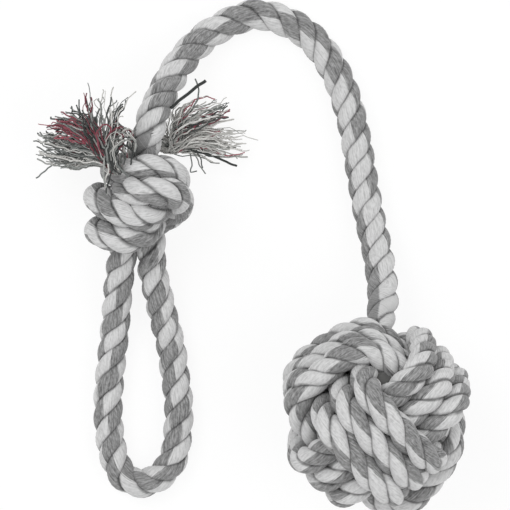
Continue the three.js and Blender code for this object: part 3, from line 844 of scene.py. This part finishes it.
def ball_passes():
    """The three passes of the ball in the frame, each as points with the rope's marks."""
    outer = BEND_ALONG + BEND_RADIUS
    inner = BEND_ACROSS + BEND_RADIUS
    leg_middles = ((0, outer), (inner, 0), (0, -outer))
    bends = ((-1, 1, 180), (1, 1, 90), (1, -1, 0), (-1, -1, -90))
    first_offset = -(PASS_TURNS - 1) / 2
    points = [(first_offset, -inner, START_ALONG)]
    for turn in range(PASS_TURNS):
        offset = first_offset + turn
        for bend, (across, along, heading) in enumerate(bends):
            for turned in (0, 45, 90):
                angle = math.radians(heading - turned)
                across_bend = across * BEND_ACROSS + math.cos(angle) * BEND_RADIUS
                points.append((offset, across_bend, along * BEND_ALONG + math.sin(angle) * BEND_RADIUS))
            if bend < len(leg_middles):
                points.append((offset, *leg_middles[bend]))
        if turn < PASS_TURNS - 1:
            for along in (-1, 0, 1):
                points.append((offset + SHIFT_MIDDLE + SHIFT_RATE * along, -inner, along))
        else:
            points += [(offset, across, along) for across, along in TUCK]
    passes = []
    for order in ((0, 1, 2), (1, 2, 0), (2, 0, 1)):
        route = [leaned([point[axis] * TURN_PITCH for axis in order]) for point in points]
        faces = [place / np.linalg.norm(place) for place in route]
        places = [ball_centre + np.array(PASS_SHIFT) + place for place in route]
        passes.append(marked(places, BALL_WIDTH, faces))
    return passes


def leaned(point):
    """A point of the ball's own frame, swelled towards its faces' middles, leaned and out of round."""
    place = Vector(point)
    mean_over_sphere = 3 / 5
    towards_face = sum(value ** 4 for value in place) / place.length_squared ** 2 - mean_over_sphere
    place *= 1 + BALL_BULGE * towards_face
    place.rotate(Euler([math.radians(angle) for angle in BALL_LEAN]))
    place.rotate(Euler((0, 0, math.radians(PASS_TURN))))
    pushed = 1
    for depth, width, way in ball_pushes:
        off = (place.normalized() - Vector(way).normalized()).length / width
        pushed += depth * math.exp(-off ** 2)
    place *= pushed
    return np.array(place)


rope_yarn = cotton_rope()
loose_yarn = tassel_yarn()
rope_maker = rope_tree(rope_yarn)
tassel_maker = tassel_tree(loose_yarn)
rope_values = {
    "Strand offset": STRAND_OFFSET,
    "Strand radius": STRAND_RADIUS,
    "Step": ROPE_STEP * MM,
    "Sides": STRAND_SIDES,
}

# Rope: one length from the tail, through the knot, round the hand loop, through the knot and along the line
corner = Vector((1, 1, -1)).normalized()
corner.rotate(Euler([math.radians(angle) for angle in BALL_LEAN]))
neck_places = [ball_centre + np.array(corner) * reach * TURN_PITCH for reach in NECK_REACHES[::-1]]
neck = marked(neck_places, BALL_WIDTH, [UP] * len(neck_places))
tail_part = on_knot([*leg_to_tail, tail_end], KNOT_WIDTH)
loop_part = on_ground(loop_route, LOOP_WIDTH)
line_part = on_knot([*leg_to_line, line_exit], KNOT_WIDTH)
line = on_ground(line_route, LINE_WIDTH)
rope_route = np.vstack([tail_part[::-1], loop_part, line_part, line, neck])
rope_path = laid_path(rope_route, rope_leaves, ROPE_LAY)
rope_guide = guide_lines("rope_guide", [rope_path], ROPE_MARKS)
stretches = {
    "knot_tail_rope": (tail_part[-1], tail_part[1]),
    "hand_loop_rope": (tail_part[1], line_part[1]),
    "knot_line_rope": (line_part[1], line_part[-3]),
    "line_rope": (line_part[-3], line[-4]),
    "neck_rope": (line[-4], neck[-1]),
}
rope_pieces = {}
for name, ends in stretches.items():
    start, end = (length_at(rope_path, point) * MM for point in ends)
    # On rope pulled tight the painted seam shade starts nearer the seam
    seam_shade_from = TIGHT_SEAM_SHADE if name.startswith("knot") else LOOSE_SEAM_SHADE
    values = {**rope_values, "From": start, "To": end, "Seam from": seam_shade_from}
    rope_pieces[name] = made_piece(rope_guide, name, rope_maker, values)
bpy.data.objects.remove(rope_guide)

# Ball
ball_pieces = []
pass_names = ("ball_first_pass", "ball_second_pass", "ball_third_pass")
for name, points, leaves, lay in zip(pass_names, ball_passes(), ball_leaves, BALL_LAYS):
    path = laid_path(points, leaves, lay)
    guide = guide_lines("turn_guide", [path], ROPE_MARKS)
    values = {**rope_values, "From": 0.0, "To": lengths_along(path)[-1] * MM, "Seam from": TIGHT_SEAM_SHADE}
    ball_pieces.append(made_piece(guide, name, rope_maker, values))
    bpy.data.objects.remove(guide)

core_mesh = bpy.data.meshes.new("ball_wadding")
core_form = bmesh.new()
bmesh.ops.create_icosphere(core_form, subdivisions=4, radius=1)
for vertex in core_form.verts:
    towards = np.array(vertex.co) / np.linalg.norm(vertex.co)
    at_corner = abs(towards.prod()) * CORNER_SHARE
    place = leaned(towards * (WADDING_MIDDLES + (WADDING_CORNERS - WADDING_MIDDLES) * at_corner))
    vertex.co = Vector(ball_centre + np.array(PASS_SHIFT) + place) * MM
core_form.to_mesh(core_mesh)
core_form.free()
# Cotton wadding, stuffed: matt and dark, seen only as shade between the turns
wadding, wadding_shader = cloth("dark cotton wadding")
wadding_shader.inputs["Base Color"].default_value = linear("#5a5a59")
core_mesh.materials.append(wadding)
core_piece = bpy.data.objects.new("ball_wadding", core_mesh)
bpy.context.collection.objects.link(core_piece)

# Tassels
tail = tail_part[-1][:3]
tail_lead = tail - tail_part[-2][:3]
tail_lead = tail_lead / np.linalg.norm(tail_lead)
split = np.array(TAIL_SPLIT)
split = split - tail_lead * split.dot(tail_lead)
lock_values = {
    "Bundle": 1.5 * MM, "Spread": 2.6 * MM, "Wave": 5.0 * MM, "Wave length": 9.0 * MM, "Crinkle": 2.4 * MM,
    "Shortest": 0.72, "Thinnest": 0.4, "Steps": 28,
}
tassel_pieces = []
for name, side, route, root, locks, seed in (
    ("left_tassel", -1, left_root_route, left_root, left_locks, 3),
    ("right_tassel", 1, right_root_route, right_root, right_locks, 5),
):
    start = tail + side * split
    route = [np.array(point) + shift for point in route]
    root = np.array(root) + shift
    paths = []
    for count, red, tone, ends in locks:
        beyond = [np.array(point) + shift for point in ends]
        points = [start, start + TAIL_STRAIGHT * tail_lead, *route, root, *beyond]
        marks = (YARN_WIDTH, red, tone, LOCK_TONE_SPREAD, count)
        paths.append(smooth_path([[*point, *marks] for point in points], GUIDE_STEP))
    guide = guide_lines("lock_guide", paths, YARN_MARKS)
    tassel_pieces.append(made_piece(guide, name, tassel_maker, {**lock_values, "Seed": seed}))
    bpy.data.objects.remove(guide)

stray_paths = []
for width, tone, points in stray_yarns:
    marks = (width, 0, tone, 0, 1)
    stray_paths.append(smooth_path([[*(np.array(point) + shift), *marks] for point in points], GUIDE_STEP))
stray_values = {
    "Bundle": 0.0, "Spread": 0.0, "Wave": 1.0 * MM, "Wave length": 9.0 * MM, "Crinkle": 0.8 * MM,
    "Shortest": 0.99, "Thinnest": 0.9, "Steps": 24, "Seed": 7,
}
stray_guide = guide_lines("stray_guide", stray_paths, YARN_MARKS)
stray_piece = made_piece(stray_guide, "stray_yarns", tassel_maker, stray_values)
bpy.data.objects.remove(stray_guide)

# Floor, camera and light
floor_mesh = bpy.data.meshes.new("floor")
floor_sides = ((-1, -1), (1, -1), (1, 1), (-1, 1))
floor_corners = [(x * FLOOR_HALF * MM, y * FLOOR_HALF * MM, 0) for x, y in floor_sides]
floor_mesh.from_pydata(floor_corners, [], [(0, 1, 2, 3)])
floor = bpy.data.objects.new("floor", floor_mesh)
floor.location.z = -FLOOR_DROP * MM
bpy.context.collection.objects.link(floor)
# White paper, rolled: matt, and bright to the camera, with the soft shadow of the toy
white = bpy.data.materials.new("white paper ground")
white.use_nodes = True
white_tree = white.node_tree
paper = white_tree.nodes["Principled BSDF"]
paper.inputs["Base Color"].default_value = linear("#fdfdfd")
paper.inputs["Roughness"].default_value = 0.95
paper.inputs["Specular IOR Level"].default_value = 0.1
seen = add(white_tree, "ShaderNodeLightPath").outputs["Is Camera Ray"]
seen_share = add(white_tree, "ShaderNodeMath", {0: seen, 1: GROUND_WHITE}, operation="MULTIPLY")
glow = add(white_tree, "ShaderNodeEmission", {"Color": (1, 1, 1, 1), "Strength": 1.0})
ground = add(
    white_tree, "ShaderNodeMixShader", {0: seen_share.outputs[0], 1: paper.outputs[0], 2: glow.outputs[0]},
)
white_tree.links.new(ground.outputs[0], white_tree.nodes["Material Output"].inputs["Surface"])
floor_mesh.materials.append(white)

camera_data = bpy.data.cameras.new("camera")
camera_data.sensor_width = SENSOR
camera_data.lens = SENSOR * (CAMERA_HEIGHT - LYING) / PICTURE_WIDTH
camera = bpy.data.objects.new("camera", camera_data)
camera.location = (shift[0] * MM, shift[1] * MM, CAMERA_HEIGHT * MM)
bpy.context.collection.objects.link(camera)
bpy.context.scene.camera = camera

world = bpy.data.worlds.new("studio")
world.use_nodes = True
world.node_tree.nodes["Background"].inputs["Color"].default_value = (1, 1, 1, 1)
world.node_tree.nodes["Background"].inputs["Strength"].default_value = ROOM_LIGHT
bpy.context.scene.world = world
for name, place, power in lamps:
    lamp = bpy.data.lights.new(name, "AREA")
    lamp.size = LAMP_SIZE
    lamp.energy = power
    light = bpy.data.objects.new(name, lamp)
    light.location = place
    light.rotation_euler = (-Vector(place)).to_track_quat("-Z", "Y").to_euler()
    bpy.context.collection.objects.link(light)
bpy.context.scene.view_settings.view_transform = "Standard"

# What each piece stands for, and what it moves with
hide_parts("knot_tail_part")
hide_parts("knot_line_part")
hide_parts("hand_loop")
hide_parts("line_knot_half", "line_ball_half")
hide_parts("ball_line_end")
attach(rope_pieces["knot_tail_rope"], "knot")
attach(rope_pieces["knot_line_rope"], "knot")
for name, bodies, joint in (
    ("hand_loop_rope", ("knot", "loop"), "loop_fold"),
    ("line_rope", ("knot", "line"), "line_bend"),
    ("neck_rope", ("line", "ball"), "ball_swing"),
):
    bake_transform(rope_pieces[name])
for piece, node in zip(ball_pieces, ("ball_pass_first", "ball_pass_second", "ball_pass_third")):
    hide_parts(node)
    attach(piece, "ball")
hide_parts("ball_core")
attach(core_piece, "ball")
for piece, node in zip(tassel_pieces, ("tassel_left", "tassel_right")):
    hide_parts(node)
for piece in [*tassel_pieces, stray_piece]:
    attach(piece, "knot")
for name, width in (("hand_loop_rope", LOOP_WIDTH), ("line_rope", LINE_WIDTH)):
    start, end = (length_at(rope_path, point) for point in stretches[name])
